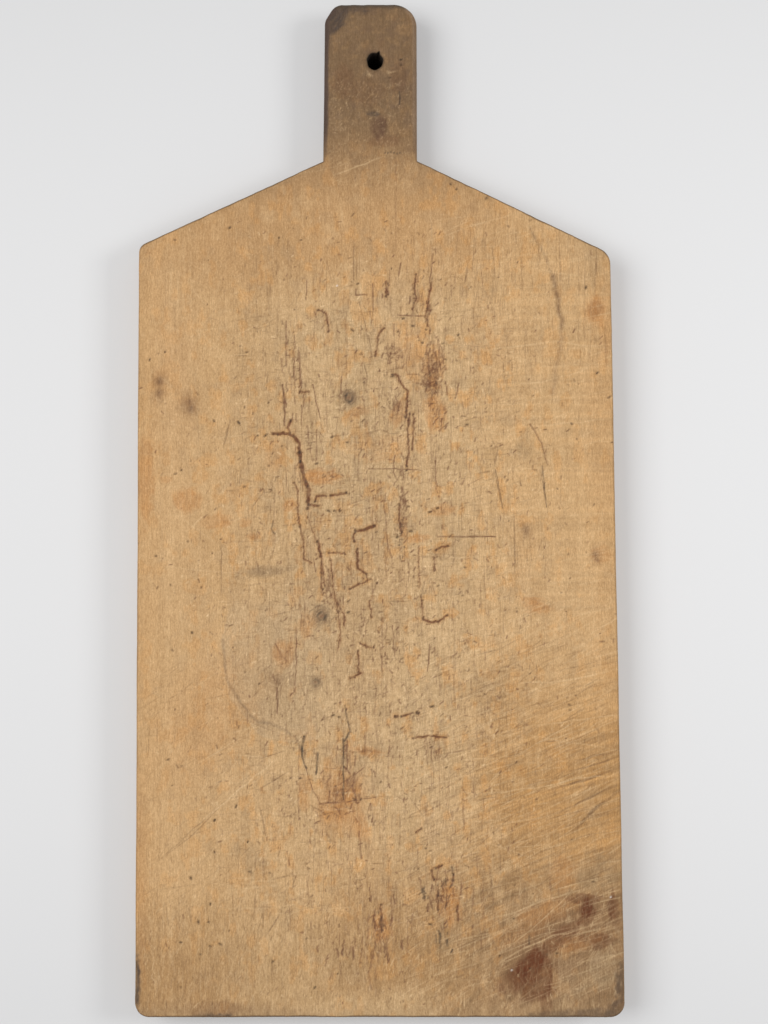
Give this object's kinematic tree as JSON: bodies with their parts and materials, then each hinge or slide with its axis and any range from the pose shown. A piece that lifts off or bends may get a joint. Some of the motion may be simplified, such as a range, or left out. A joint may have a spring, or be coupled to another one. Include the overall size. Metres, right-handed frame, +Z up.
{
  "type": "cutting board",
  "caption": "Old wooden kitchen cutting board: one flat plank with sloping shoulders and a short handle that is drilled to hang it by.",
  "frame": {"origin": "middle of the underside, where the board rests", "axes": "+Z up out of the cutting face, +Y along the grain towards the handle, +X to the right with the handle away from you"},
  "size_m": [0.25, 0.534, 0.02],
  "materials": {
    "wood": "old, dry, unvarnished hardwood, worn matt"
  },
  "bodies": {
    "root": {"board": "wood"}
  },
  "joints": []
}
